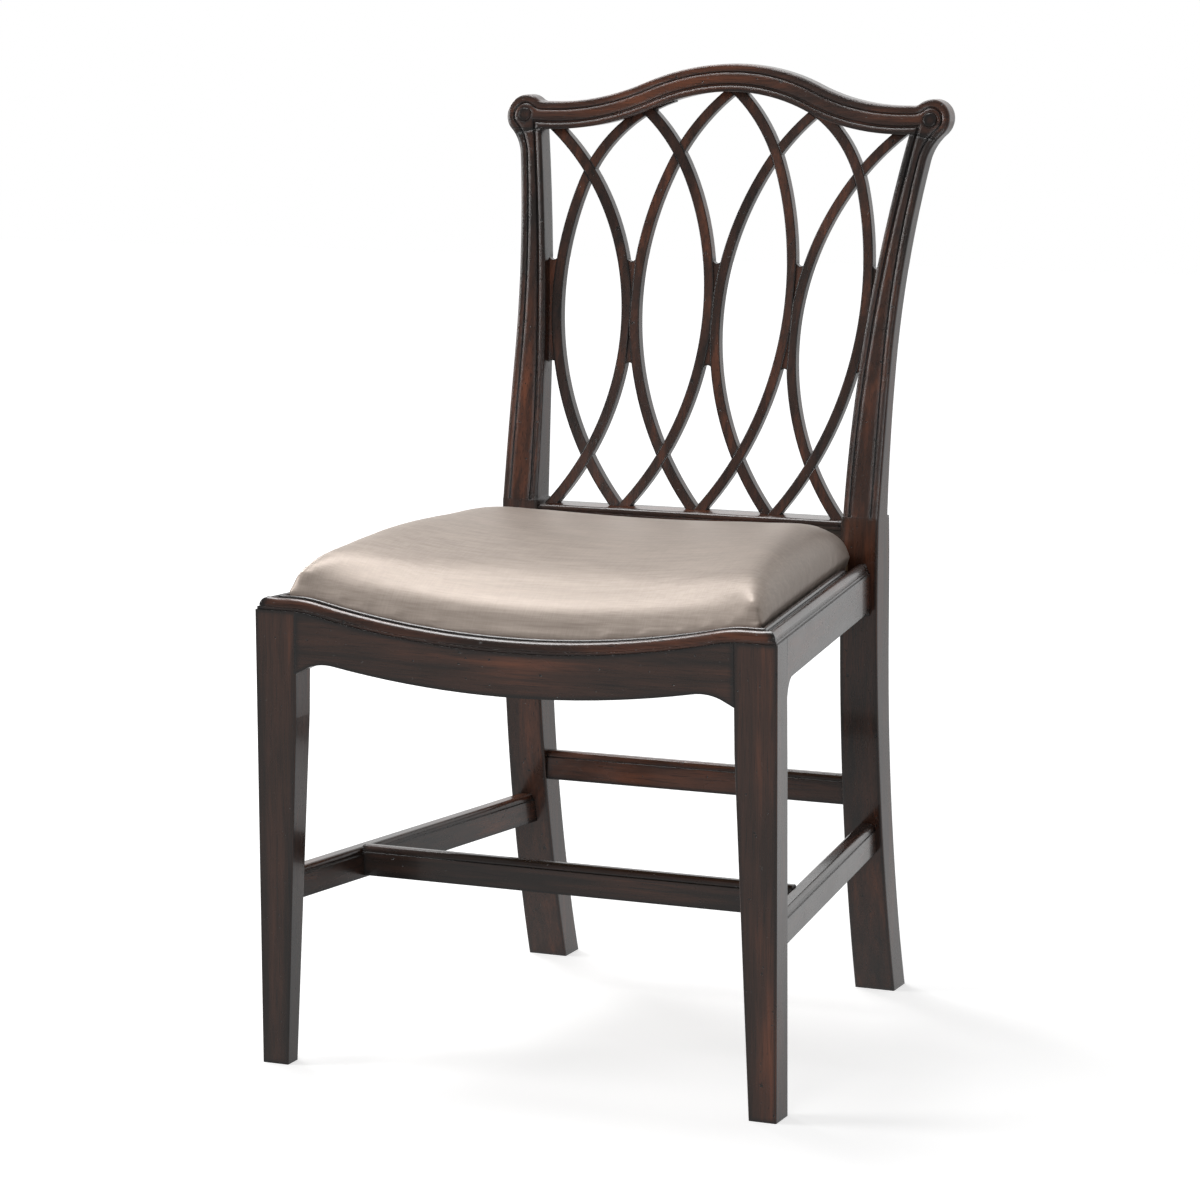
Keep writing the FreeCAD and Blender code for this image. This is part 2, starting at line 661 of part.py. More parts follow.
def side_rail(leg, post):
    run, drop = SIDE_BRACKET
    leg_d = LEG_SECTIONS[-1][2]
    run += leg_d
    over = leg_d - LEG_LAP
    low, top = SIDE_LOW_Z, LEG_TOP_Z
    back = SIDE_LENGTH - SIDE_BACK_CHAMFER
    points = [(leg_d, low - drop), (over, low - drop), (over, top), (SIDE_LENGTH, top),
              (SIDE_LENGTH, low - SIDE_BACK_CHAMFER), (back, low), (run, low)]
    bend_at = side_point(leg_d + BRACKET_BEND * SIDE_BRACKET[0], 0, low - BRACKET_BEND * drop)
    curve = Part.Arc(side_point(run, 0, low), bend_at, side_point(leg_d, 0, low - drop)).toShape()
    rail = side_prism(side_lines(points) + [curve], 0, RAIL_DEPTH).cut(leg).cut(post)
    z0, z1 = RAIL_TENON_Z
    for near, far in ((leg_d - RAIL_TENON_LENGTH, leg_d + TENON_ROOT),
                      (SIDE_LENGTH - TENON_ROOT, SIDE_LENGTH + RAIL_TENON_LENGTH)):
        outline = side_lines([(near, z0), (far, z0), (far, z1), (near, z1), (near, z0)])
        rail = rail.fuse(side_prism(outline, SIDE_TENON_IN, RAIL_TENON_T))
    return rail.removeSplitter()


def moulding_section(at, under=0.0):
    """Edges of the seat moulding's section; at(t, h) places a point, t inward and h up."""
    def chain(points):
        return [Part.LineSegment(at(*a), at(*b)).toShape() for a, b in zip(points, points[1:])]
    step = MOULD_FILLET
    torus, bead = MOULD_TORUS, MOULD_BEAD
    return (chain([(MOULD_W, bead[4][1]), (MOULD_W, -under), (0, -under), (0, step[1]), step])
            + [Part.Arc(at(*step), at(*torus[0]), at(*torus[1])).toShape()]
            + chain([torus[1], torus[2], bead[0]])
            + [Part.Arc(at(*bead[0]), at(*bead[1]), at(*bead[2])).toShape(),
               Part.Arc(at(*bead[2]), at(*bead[3]), at(*bead[4])).toShape()])


def moulding_corner(offset):
    """Right-hand front corner of the seat moulding's plan, at a distance inside its outer edge."""
    y = MOULD_SET_BACK + offset
    across = (MOULD_SET_BACK + offset) / SIDE_ALONG.y
    return LEG_OUT_X - across + y * SIDE_ALONG.x / SIDE_ALONG.y, y


def beside_mitre():
    """Everything outside the right-hand front mitre, ahead of the posts."""
    a, b = [moulding_corner(offset) for offset in MITRE_REACH]
    end_y = POST_SECTIONS[-1][2]
    return plan_prism([a, b, (b[0], end_y), (BEYOND_X, end_y), (BEYOND_X, a[1])], (0, BEYOND_Z))


def front_moulding():
    def section(x):
        level = LEG_TOP_Z - dish_drop(x)
        return Part.Wire(moulding_section(lambda t, h: V(x, MOULD_SET_BACK + t, level + h), MOULD_UNDER))
    strip = Part.makeLoft([section(x) for x in both_sides(MOULD_STATIONS)], True)
    bed = dish_line(1.0, DISH_DEPTH, LEG_TOP_Z, BEYOND_X)
    bed += lines([(BEYOND_X, LEG_TOP_Z), (BEYOND_X, 0), (-BEYOND_X, 0), (-BEYOND_X, LEG_TOP_Z)])
    wedge = beside_mitre()
    return cut_all(strip, [through_y(bed), wedge, mirrored(wedge)])


def side_moulding(post):
    edges = moulding_section(lambda t, h: side_point(MITRE_REACH[0], MOULD_SET_BACK + t, LEG_TOP_Z + h))
    strip = flat_face(edges).extrude(SIDE_ALONG * (SIDE_LENGTH - 2 * MITRE_REACH[0]))
    return strip.common(beside_mitre()).cut(post)


def stretcher_blank(start, end, width):
    """Stretcher with a moulded top edge between two points on the middle of its underside."""
    start, end = V(*start), V(*end)
    across = V(0, 0, 1).cross(end - start)
    across.normalize()

    def at(t, h):
        return start + across * t + V(0, 0, h)
    half = 0.5 * width
    bead = [(half - inset, height) for inset, height in STRETCHER_BEAD]
    right = [(half, 0), (half, STRETCHER_EDGE_Z), bead[0]]
    edges = []
    for s in (1, -1):
        side = [at(s * t, h) for t, h in right]
        edges += [Part.LineSegment(a, b).toShape() for a, b in zip(side, side[1:])]
        edges.append(Part.Arc(*[at(s * t, h) for t, h in bead]).toShape())
    edges.append(Part.LineSegment(at(half, 0), at(-half, 0)).toShape())
    edges.append(Part.LineSegment(at(*bead[2]), at(-bead[2][0], bead[2][1])).toShape())
    body = flat_face(edges).extrude(end - start)
    t, (low, high) = 0.5 * STRETCHER_TENON_W, STRETCHER_TENON_Z
    corners = [at(-t, low), at(t, low), at(t, high), at(-t, high)]
    core = Part.Face(Part.makePolygon(corners + corners[:1])).extrude(end - start)
    return body, core


def stretcher(start, end, ends, width=STRETCHER_W):
    """Stretcher from tenon end to tenon end, shouldered against the pieces it goes into."""
    body, core = stretcher_blank(start, end, width)
    return cut_all(body, ends).fuse(core).removeSplitter()


def along_line(a, b, y):
    t = (y - a[1]) / (b[1] - a[1])
    return tuple(p + t * (q - p) for p, q in zip(a, b))


def corner_blocks(fixed):
    """Right-hand corner blocks, front and rear, with the screws that hold each of them."""
    def inner(along):
        p = side_point(along, RAIL_DEPTH, 0)
        return p.x, p.y
    leg_x = LEG_OUT_X - LEG_TOP_W
    leg_d = LEG_SECTIONS[-1][2]
    front_toe = (leg_x - BLOCK_REACH, RAIL_DEPTH)
    front_heel = inner(leg_d + BLOCK_REACH)
    in_leg = LEG_OUT_X - 0.5 * LEG_TOP_W
    front_plan = [front_toe, (in_leg, RAIL_DEPTH), (in_leg, leg_d), front_heel]
    rear_toe = (POST_IN_X - BLOCK_REACH, BACK_RAIL_Y[0])
    rear_heel = inner(SIDE_LENGTH - BLOCK_REACH)
    rear_plan = [rear_toe, (POST_IN_X, BACK_RAIL_Y[0]), (POST_IN_X, POST_SECTIONS[-2][2]), rear_heel]
    found = []
    for plan, toe, heel, to_rail in ((front_plan, front_toe, front_heel, V(0, -1, 0)),
                                     (rear_plan, rear_toe, rear_heel, V(0, 1, 0))):
        block = cut_all(plan_prism(plan, BLOCK_Z), fixed)
        screws = [corner_screw(toe, heel, share, direction)
                  for share, direction in zip(SCREW_SHARES, (to_rail, SIDE_INWARD * -1))]
        found.append((block, screws))
    return found


def corner_screw(toe, heel, share, direction):
    """Screw sunk into a block's long face, and the pocket it goes in through."""
    face = V(toe[0] + share * (heel[0] - toe[0]), toe[1] + share * (heel[1] - toe[1]), SCREW_Z)
    start = face + direction * SCREW_SINK
    r, h = SCREW_HEAD
    head = Part.makeCone(r, SCREW_R, h, start, direction)
    shank = Part.makeCylinder(SCREW_R, SCREW_LENGTH - h, start + direction * h, direction)
    pocket = Part.makeCylinder(r, SCREW_LENGTH, start, direction * -1)
    return head.fuse(shank).removeSplitter(), pocket


def seat_half(y):
    t = (y - PANEL_FRONT_Y) / (PANEL_BACK_Y - PANEL_FRONT_Y)
    return PANEL_FRONT_HALF + t * (PANEL_BACK_HALF - PANEL_FRONT_HALF)


def seat_dish(y):
    t = (y - PANEL_FRONT_Y) / (PANEL_BACK_Y - PANEL_FRONT_Y)
    return DISH_DEPTH + t * (PANEL_BACK_DISH - DISH_DEPTH)


def at_y(edges, y):
    wire = Part.Wire(Part.__sortEdges__(edges))
    wire.translate(V(0, y, 0))
    return wire


def bent_board(front_y, back_y_limit, edge_in, low, thickness):
    """Board of even thickness that follows the seat's dish."""
    wires = []
    for y in (front_y, back_y_limit):
        half = seat_half(y) - edge_in
        scale = seat_half(y) / PANEL_FRONT_HALF
        under = dish_line(scale, seat_dish(y), low, half)
        over = dish_line(scale, seat_dish(y), low + thickness, half)
        sides = [line((s * half, low), (s * half, low + thickness)) for s in (-1, 1)]
        wires.append(at_y(under + over + sides, y))
    return Part.makeLoft(wires, True, True)


def cushion(floor):
    """Upholstered form; floor is the height of its underside at the edges."""
    wires = []
    for y, ridge, middle in CUSHION:
        half = seat_half(y)
        edge_z = LEG_TOP_Z + CUSHION_EDGE_H
        top_x = half - CUSHION_RIDGE_IN
        rise = ridge - edge_z
        bulge = CUSHION_BULGE * min(1.0, rise / CUSHION_FULL_RISE)
        under = dish_line(half / PANEL_FRONT_HALF, seat_dish(y), floor, half)
        right = [line((half, floor), (half, edge_z)),
                 bend((half, edge_z), (half + bulge, edge_z + CUSHION_BULGE_AT * rise), (top_x, ridge))]
        crown = bend((top_x, ridge), (0, middle), (-top_x, ridge))
        wires.append(at_y(under + with_mirror(right) + [crown], y))
    form = Part.makeLoft(wires, True)
    return form if form.Volume > 0 else form.reversed()


def keep(name, shape):
    solids = shape.Solids
    piece = solids[0].copy() if len(solids) == 1 else Part.makeCompound(solids)
    piece.translate(V(0, -ORIGIN_Y, 0))
    piece.exportStep("parts/%s.step" % name)
    print("%-24s solids %d valid %s volume %.0f" % (name, len(solids), piece.isValid(), piece.Volume))


os.makedirs("parts", exist_ok=True)

# Back frame: crest, stiles, ear pegs and trellis
frame = back_frame()
region = crest_region()
crest = frame.common(region)
stile = frame.cut(region).common(box((0, BEYOND_X), BEYOND_Y, (0, BEYOND_Z)))
tenon = through_y(lines([(POST_TENON_X[0], POST_TENON_Z[0]), (POST_TENON_X[1], POST_TENON_Z[0]),
                         (POST_TENON_X[1], POST_TENON_Z[1]), (POST_TENON_X[0], POST_TENON_Z[1]),
                         (POST_TENON_X[0], POST_TENON_Z[0])])).common(back_layer(*POST_TENON_DEPTH))
peg = ear_peg()
bars, webs, whole_bars = trellis()
crest = cut_all(crest, [tenon, mirrored(tenon), peg, mirrored(peg)] + whole_bars)

# Seat frame and stretchers
leg_blank = front_leg()
post_blank = post_leg()
leg_blanks = [leg_blank, mirrored(leg_blank)]
post_blanks = [post_blank, mirrored(post_blank)]
rail_front = front_rail(leg_blanks)
rail_side = side_rail(leg_blank, post_blank)
rail_back = back_seat_rail()
shoe_rail = cut_all(shoe(), whole_bars)
side_ends = [along_line(SIDE_STRETCHER_FRONT, SIDE_STRETCHER_BACK, y) for y in SIDE_STRETCHER_Y]
side_blank = stretcher(side_ends[0], side_ends[1], [leg_blank, post_blank], SIDE_STRETCHER_W)
cross = stretcher((-CROSS_TENON_X,) + CROSS_STRETCHER, (CROSS_TENON_X,) + CROSS_STRETCHER,
                  [side_blank, mirrored(side_blank)])
rear_reach = POST_IN_X + STRETCHER_TENON_LENGTH
rear = stretcher((-rear_reach,) + REAR_STRETCHER, (rear_reach,) + REAR_STRETCHER, post_blanks)
side_stretcher = side_blank.cut(cross)

blocks = corner_blocks([leg_blank, post_blank, rail_front, rail_side, rail_back])
screws = [s for block, pairs in blocks for s, pocket in pairs]
pockets = [pocket for block, pairs in blocks for s, pocket in pairs]
all_screws = screws + [mirrored(s) for s in screws]
rail_front = cut_all(rail_front, all_screws)
rail_back = cut_all(rail_back, all_screws)
rail_side = cut_all(rail_side, screws + [rail_back])

leg = cut_all(leg_blank, [rail_front, rail_side, side_stretcher])
post = post_blank.fuse(stile).removeSplitter().fuse(tenon).removeSplitter()
post = cut_all(post, [rail_side, rail_back, shoe_rail, side_stretcher, rear, peg, webs[-1]] + bars[-2:])

mould_front = cut_all(front_moulding(), leg_blanks)
mould_side = side_moulding(post_blank)

# Slip seat
panel_z = LEG_TOP_Z + PANEL_LIFT
panel = bent_board(PANEL_FRONT_Y + COVER_T, PANEL_BACK_Y - COVER_T, COVER_T, panel_z, PANEL_T)
foam_blank = bent_board(FOAM_Y[0], FOAM_Y[1], FOAM_IN, panel_z + PANEL_T / 2, PANEL_T / 2 + FOAM_T)
foam = foam_blank.cut(panel)
cover = cut_all(cushion(panel_z + COVER_HEM), [panel, foam_blank])

keep("crest_rail", crest)
keep("lower_back_rail", shoe_rail)
keep("front_seat_rail", rail_front)
keep("back_seat_rail", rail_back)
keep("cross_stretcher", cross)
keep("rear_stretcher", rear)
keep("seat_moulding_front", mould_front)
keep("corner_block_screws", Part.makeCompound(all_screws))
keep("seat_panel", panel)
keep("seat_foam", foam)
keep("seat_cover", cover)
pairs = {"front_leg": leg, "back_post": post, "side_seat_rail": rail_side, "side_stretcher": side_stretcher,
         "seat_moulding": mould_side, "crest_peg": peg,
         "front_corner_block": cut_all(blocks[0][0], screws + pockets),
         "rear_corner_block": cut_all(blocks[1][0], screws + pockets)}
for name, shape in pairs.items():
    keep(name + "_right", shape)
    keep(name + "_left", mirrored(shape))
for k in range(4):
    keep("trellis_bar_%d_left" % (k + 1), bars[2 * k])
    keep("trellis_bar_%d_right" % (k + 1), bars[2 * k + 1])
for k, web in enumerate(webs):
    keep("trellis_web_%d" % (k + 1), web)
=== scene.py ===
import json
import math

import bmesh
import bpy
from mathutils import Euler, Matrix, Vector
from mathutils.bvhtree import BVHTree


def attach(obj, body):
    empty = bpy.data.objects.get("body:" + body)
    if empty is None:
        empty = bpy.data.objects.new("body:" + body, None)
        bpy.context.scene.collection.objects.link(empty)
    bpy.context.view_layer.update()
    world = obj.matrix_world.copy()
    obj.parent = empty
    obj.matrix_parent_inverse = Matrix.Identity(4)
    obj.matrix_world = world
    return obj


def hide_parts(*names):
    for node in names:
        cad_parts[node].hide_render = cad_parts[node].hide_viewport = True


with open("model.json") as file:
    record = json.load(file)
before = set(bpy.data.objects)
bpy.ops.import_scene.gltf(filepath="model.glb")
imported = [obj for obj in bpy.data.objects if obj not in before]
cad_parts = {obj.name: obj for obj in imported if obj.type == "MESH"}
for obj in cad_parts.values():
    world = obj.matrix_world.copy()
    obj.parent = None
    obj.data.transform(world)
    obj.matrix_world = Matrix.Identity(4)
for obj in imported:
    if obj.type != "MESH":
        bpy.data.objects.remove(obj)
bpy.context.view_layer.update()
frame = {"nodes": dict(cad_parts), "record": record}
nodes = frame["nodes"]

# Camera: where the photograph was taken from, in metres
CAMERA_AT = (1.53831, -3.56750, 1.06092)
CAMERA_LOOKS_AT = (-0.021434, -0.0308, 0.427169)
CAMERA_ROLL = math.radians(-0.242)
CAMERA_LENS = 119.877
SENSOR = 36.0

# Studio: the backdrop is white behind the chair and, in reflections, dims towards the room in front
WHITE = (1, 1, 1, 1)
WORLD_FILL = 0.22
BACKDROP_Y = (-0.45, 0.45)
BACKDROP_LEVEL = (0.20, 1.0)
FLOOR_HALF = 9.0
FLOOR_TONE = (0.62, 0.62, 0.62, 1)
FLOOR_ROUGHNESS = 0.9
# The floor's own brightness, from near the chair to where it goes over into the backdrop
FLOOR_FADE = (0.8, 2.8)
FLOOR_GLOW = (0.67, 1.0)
# The floor in reflections: its tone, and its brightness in front of the chair and behind it
FLOOR_TONE_MIRRORED = (0.10, 0.10, 0.10, 1)
FLOOR_GLOW_MIRRORED = (0.46, 0.64)
# Lamps: place, size and power
LAMPS = {
    "key": ((-3.0, -1.3, 1.9), 1.4, 52.0),
    "over": ((-0.8, 0.35, 2.6), 1.1, 28.0),
    "front": ((0.3, -3.6, 1.3), 1.5, 28.0),
    "rim": ((-2.4, 1.6, 1.7), 0.8, 20.0),
}
LAMPS_AIM = (0.0, 0.0, 0.5)

# Lacquered wood: colours from the dark of the grain to its red streaks, its dents, and painted shade
# darkening its edges and quirks
WOOD_DARK = (0.015, 0.0084, 0.0060, 1)
WOOD_MID = (0.052, 0.0220, 0.0138, 1)
WOOD_RED = (0.165, 0.054, 0.0255, 1)
# near-black for the dents, and for the painted shade along edges and in quirks
WOOD_DENTS_AND_SHADE = (0.0040, 0.0034, 0.0032, 1)
WOOD_TONES = (0.34, 0.51, 0.71)
PORE_LIMITS = (0.30, 0.46)
PORE_SHARE = 0.55
PORE_DEPTH = 0.00005
DENT_LIMITS = (0.70, 0.73)
DENT_SHARE = 0.85
DENT_DEPTH = 0.0005
BLOTCH_SHARE = 0.55
# How much each pattern is drawn out along the grain
GRAIN_DRAW = 0.055
PORE_DRAW = 0.03
BLOTCH_DRAW = 0.5
WEAR_DRAW = 0.4
# Noise patterns: scale, detail, roughness and distortion
FIGURE = (26.0, 4.0, 0.55, 0.6)
STREAKS = (130.0, 5.0, 0.62, 0.3)
PORES = (900.0, 2.0)
BLOTCHES = (9.0, 3.0, 0.5)
DENTS = (170.0, 2.0, 0.5)
WEAR = (34.0, 4.0)
# Lacquer: least roughness, what wear adds to it, and the clear coat
LACQUER_ROUGHNESS = 0.20
LACQUER_WEAR = 0.14
LACQUER = {"IOR": 1.48, "Coat_Weight": 0.4, "Coat_Roughness": 0.10, "Coat_IOR": 1.45}
# How far edges are rounded, on plain and on moulded pieces
ARRIS = 0.0016
MOULDED_ARRIS = 0.0045
ARRIS_SAMPLES = 6
# How wide the painted shade along edges and in the mouldings' quirks is, and how strong
SHADED_RIM = 0.011
TRELLIS_RIM = 0.0035
RIM_SAMPLES = 8
RIM_GAIN = 7.0
RIM_SHARE = 0.95
# How far one piece's grain lies from the next one's
GRAIN_STEP = (0.37, 0.73, 0.51)

# Bare wood, plywood, foam and steel, seen when the seat is lifted
BARE_DARK = (0.22, 0.12, 0.055, 1)
BARE_MID = (0.36, 0.22, 0.115, 1)
BARE_LIGHT = (0.46, 0.31, 0.17, 1)
BARE_GRAIN = (60.0, 5.0, 0.6, 0.5)
BARE_STEP = (0.41, 0.67, 0.29)
SAW_MARKS = (160.0, 2.0)
PLY_DARK = (0.30, 0.19, 0.10, 1)
PLY_LIGHT = (0.52, 0.37, 0.22, 1)
PLY_FACE = (55.0, 5.0, 0.6, 0.8)
PLY_LAYER = 0.0015
FOAM_DARK = (0.62, 0.54, 0.36, 1)
FOAM_LIGHT = (0.80, 0.74, 0.56, 1)
FOAM_TONE = (40.0, 3.0)
FOAM_CELLS = 700.0
STEEL_DARK = (0.42, 0.42, 0.43, 1)
STEEL_LIGHT = (0.66, 0.66, 0.67, 1)
STEEL_SPANGLE = (900.0, 4.0, 0.6)
STEEL_TURNED = (500.0, 3.0)

# Satin: colours, noise of its threads and slubs, and how the threads mirror
SATIN_DEEP = (0.270, 0.217, 0.181, 1)
SATIN_LIGHT = (0.415, 0.345, 0.296, 1)
WEFT = (620.0, 4.0, 0.6)
WARP = (900.0, 3.0, 0.6)
SLUBS = (180.0, 3.0, 0.5)
DRIFT = (7.0, 3.0, 0.5)
SATIN_GLOSS = {"Metallic": 0.3, "IOR": 1.5, "Specular_IOR_Level": 1.0, "Specular_Tint": (1.0, 0.95, 0.90, 1),
               "Sheen_Weight": 0.06, "Sheen_Roughness": 0.4}

# Cushion: mesh size, what is held at the hem and below, how the cloth is filled and how far it may move
CUSHION_VOXEL = 0.005
CUSHION_PINNED = 0.007
CUSHION_UNDERSIDE = -0.3
CUSHION_SHRINK = 0.0020
CUSHION_CAP = 0.0026
CUSHION_PRESSURE = 1.6
CUSHION_FRAMES = 20
CUSHION_EASE = 40
CUSHION_EASE_STEP = 0.5
# The roll along the front sinks a little between the seat's two sides
ROLL_FRONT_Y = -0.2667
ROLL_RUN = 0.18
ROLL_HALF = 0.24
ROLL_SINK = 0.024
ROLL_FADE = 1.5


class Nodes:
    """A material or world under construction: adds nodes and wires them up."""

    def __init__(self, owner, shader="Principled BSDF"):
        owner.use_nodes = True
        self.owner = owner
        self.tree = owner.node_tree
        self.shader = self.tree.nodes[shader]

    def add(self, kind, **settings):
        node = self.tree.nodes.new(kind)
        for key, value in settings.items():
            setattr(node, key, value)
        return node

    def wire(self, source, target):
        self.tree.links.new(source, target)

    def feed(self, node, socket, value):
        if isinstance(value, bpy.types.NodeSocket):
            self.wire(value, node.inputs[socket])
        else:
            node.inputs[socket].default_value = value

    def set(self, **values):
        """Values for the surface's own sockets, by name with _ for a space."""
        for key, value in values.items():
            self.feed(self.shader, key.replace("_", " "), value)

    def math(self, operation, a, b=0.0, clamp=False):
        node = self.add("ShaderNodeMath", operation=operation, use_clamp=clamp)
        self.feed(node, 0, a)
        self.feed(node, 1, b)
        return node.outputs[0]

    def weighted(self, *terms):
        """Sum of values, each times its share."""
        total = 0.0
        for value, share in terms:
            total = self.math("ADD", self.math("MULTIPLY", value, share), total)
        return total

    def part(self, vector, axis):
        node = self.add("ShaderNodeSeparateXYZ")
        self.wire(vector, node.inputs[0])
        return node.outputs[axis]

    def rise(self, value, limits, levels):
        """Smooth step from one level to another as the value goes between its limits."""
        node = self.add("ShaderNodeMapRange", interpolation_type="SMOOTHSTEP")
        self.wire(value, node.inputs["Value"])
        for socket, number in zip(("From Min", "From Max", "To Min", "To Max"), limits + levels):
            node.inputs[socket].default_value = number
        return node.outputs[0]

    def place(self, stretch=(1, 1, 1), turn=(0, 0, 0), shift=(0, 0, 0)):
        """The object's own coordinates, turned and then stretched."""
        coordinates = self.add("ShaderNodeTexCoord").outputs["Object"]
        turned = self.add("ShaderNodeMapping", vector_type="POINT")
        self.wire(coordinates, turned.inputs["Vector"])
        turned.inputs["Rotation"].default_value = turn
        turned.inputs["Location"].default_value = shift
        scaled = self.add("ShaderNodeVectorMath", operation="MULTIPLY")
        self.wire(turned.outputs["Vector"], scaled.inputs[0])
        scaled.inputs[1].default_value = stretch
        return scaled.outputs["Vector"]

    def noise(self, where, scale, detail=3.0, roughness=0.55, distortion=0.0):
        node = self.add("ShaderNodeTexNoise")
        self.wire(where, node.inputs["Vector"])
        node.inputs["Scale"].default_value = scale
        node.inputs["Detail"].default_value = detail
        node.inputs["Roughness"].default_value = roughness
        node.inputs["Distortion"].default_value = distortion
        return node.outputs["Fac"]

    def ramp(self, value, stops, smooth=False):
        """Colours, or grey levels, along a value."""
        node = self.add("ShaderNodeValToRGB")
        node.color_ramp.interpolation = "EASE" if smooth else "LINEAR"
        self.wire(value, node.inputs["Fac"])
        elements = node.color_ramp.elements
        while len(elements) < len(stops):
            elements.new(0.5)
        for element, (position, colour) in zip(elements, stops):
            element.position = position
            element.color = colour if isinstance(colour, tuple) else (colour, colour, colour, 1)
        return node.outputs["Color"]

    def mix(self, share, a, b, blend="MIX"):
        node = self.add("ShaderNodeMix", data_type="RGBA", blend_type=blend)
        self.feed(node, "Factor", share)
        self.feed(node, 6, a)
        self.feed(node, 7, b)
        return node.outputs[2]

    def bump(self, height, distance, strength=1.0, normal=None):
        node = self.add("ShaderNodeBump")
        node.inputs["Distance"].default_value = distance
        node.inputs["Strength"].default_value = strength
        self.wire(height, node.inputs["Height"])
        if normal is not None:
            self.wire(normal, node.inputs["Normal"])
        return node.outputs["Normal"]


def new_material(name):
    return Nodes(bpy.data.materials.new(name))


def rounded_normal(m, radius, samples):
    """The surface's normal with its edges rounded."""
    rounded = m.add("ShaderNodeBevel", samples=samples)
    rounded.inputs["Radius"].default_value = radius
    return rounded.outputs["Normal"]


def shade_rim_mask(m, width):
    """1 along sharp edges and 0 on flat faces."""
    alike = m.add("ShaderNodeVectorMath", operation="DOT_PRODUCT")
    m.wire(rounded_normal(m, width, RIM_SAMPLES), alike.inputs[0])
    m.wire(m.add("ShaderNodeNewGeometry").outputs["Normal"], alike.inputs[1])
    off = m.math("SUBTRACT", 1.0, alike.outputs["Value"], clamp=True)
    return m.math("MULTIPLY", off, RIM_GAIN, clamp=True)


def lacquered_wood(name, turn, seed, arris, rim_width):
    """Dark mahogany under satin lacquer, its grain along the piece, with painted shade darkening its edges
    and quirks.
    """
    m = new_material(name)
    shift = tuple(step * seed for step in GRAIN_STEP)

    def drawn(draw):
        return m.place((1, 1, draw), turn, shift)
    grain = drawn(GRAIN_DRAW)
    blotches = m.math("SUBTRACT", m.noise(drawn(BLOTCH_DRAW), *BLOTCHES), 0.5)
    figure = m.noise(grain, *FIGURE)
    streaks = m.noise(grain, *STREAKS)
    tone = m.weighted((streaks, 0.5), (figure, 0.5), (blotches, BLOTCH_SHARE))
    pores = m.ramp(m.noise(drawn(PORE_DRAW), *PORES), list(zip(PORE_LIMITS, (0.0, 1.0))))
    dents = m.ramp(m.noise(drawn(1), *DENTS), list(zip(DENT_LIMITS, (0.0, 1.0))))
    colour = m.ramp(tone, list(zip(WOOD_TONES, (WOOD_DARK, WOOD_MID, WOOD_RED))))
    colour = m.mix(PORE_SHARE, colour, pores, "MULTIPLY")
    # painted shade: edges and moulding quirks darkened towards near-black
    colour = m.mix(m.math("MULTIPLY", shade_rim_mask(m, rim_width), RIM_SHARE), colour, WOOD_DENTS_AND_SHADE)
    m.set(Base_Color=m.mix(m.math("MULTIPLY", dents, DENT_SHARE), colour, WOOD_DENTS_AND_SHADE))
    wear = m.math("MULTIPLY", m.noise(drawn(WEAR_DRAW), *WEAR), LACQUER_WEAR)
    m.set(Roughness=m.math("ADD", wear, LACQUER_ROUGHNESS))
    normal = m.bump(pores, PORE_DEPTH, 0.5, rounded_normal(m, arris, ARRIS_SAMPLES))
    m.set(Normal=m.bump(dents, -DENT_DEPTH, 0.6, normal), **LACQUER)
    return m.owner


def bare_wood(name, turn, seed):
    """Sawn hardwood, unfinished."""
    m = new_material(name)
    shift = tuple(step * seed for step in BARE_STEP)
    grain = m.noise(m.place((1, 1, 0.06), turn, shift), *BARE_GRAIN)
    colour = m.ramp(grain, [(0.3, BARE_DARK), (0.52, BARE_MID), (0.74, BARE_LIGHT)])
    saw = m.noise(m.place((1, 1, 8), turn, shift), *SAW_MARKS)
    m.set(Base_Color=m.mix(0.25, colour, saw, "MULTIPLY"))
    m.set(Roughness=m.ramp(grain, [(0.2, 0.62), (0.8, 0.8)]), Normal=m.bump(saw, 0.0003, 0.4))
    return m.owner


def plywood():
    """Veneers in layers, seen on the edges, under a plain rotary-cut face."""
    m = new_material("plywood")
    face = m.noise(m.place((1, 0.08, 1)), *PLY_FACE)
    colour = m.ramp(face, [(0.3, PLY_DARK), (0.7, PLY_LIGHT)])
    layer = m.math("SINE", m.math("MULTIPLY", m.part(m.place(), "Z"), math.pi / PLY_LAYER))
    band = m.ramp(layer, [(0.4, 0.62), (0.6, 1.0)])
    m.set(Base_Color=m.mix(0.5, colour, band, "MULTIPLY"))
    m.set(Roughness=m.ramp(face, [(0.2, 0.6), (0.8, 0.78)]), Normal=m.bump(face, 0.0002, 0.4))
    return m.owner


def foam():
    """Open-cell foam."""
    m = new_material("foam")
    cells = m.add("ShaderNodeTexVoronoi")
    m.wire(m.place(), cells.inputs["Vector"])
    cells.inputs["Scale"].default_value = FOAM_CELLS
    tone = m.noise(m.place(), *FOAM_TONE)
    m.set(Base_Color=m.ramp(tone, [(0.3, FOAM_DARK), (0.7, FOAM_LIGHT)]))
    m.set(Roughness=m.ramp(tone, [(0.2, 0.85), (0.8, 0.97)]))
    m.set(Normal=m.bump(cells.outputs["Distance"], 0.0008, 0.6))
    return m.owner


def plated_steel():
    """Zinc-plated screws with turned heads."""
    m = new_material("plated_steel")
    spangle = m.noise(m.place(), *STEEL_SPANGLE)
    turned = m.noise(m.place((1, 1, 6)), *STEEL_TURNED)
    m.set(Base_Color=m.ramp(spangle, [(0.3, STEEL_DARK), (0.7, STEEL_LIGHT)]), Metallic=1.0)
    m.set(Roughness=m.ramp(turned, [(0.3, 0.24), (0.7, 0.42)]), Normal=m.bump(turned, 0.00006, 0.4))
    return m.owner


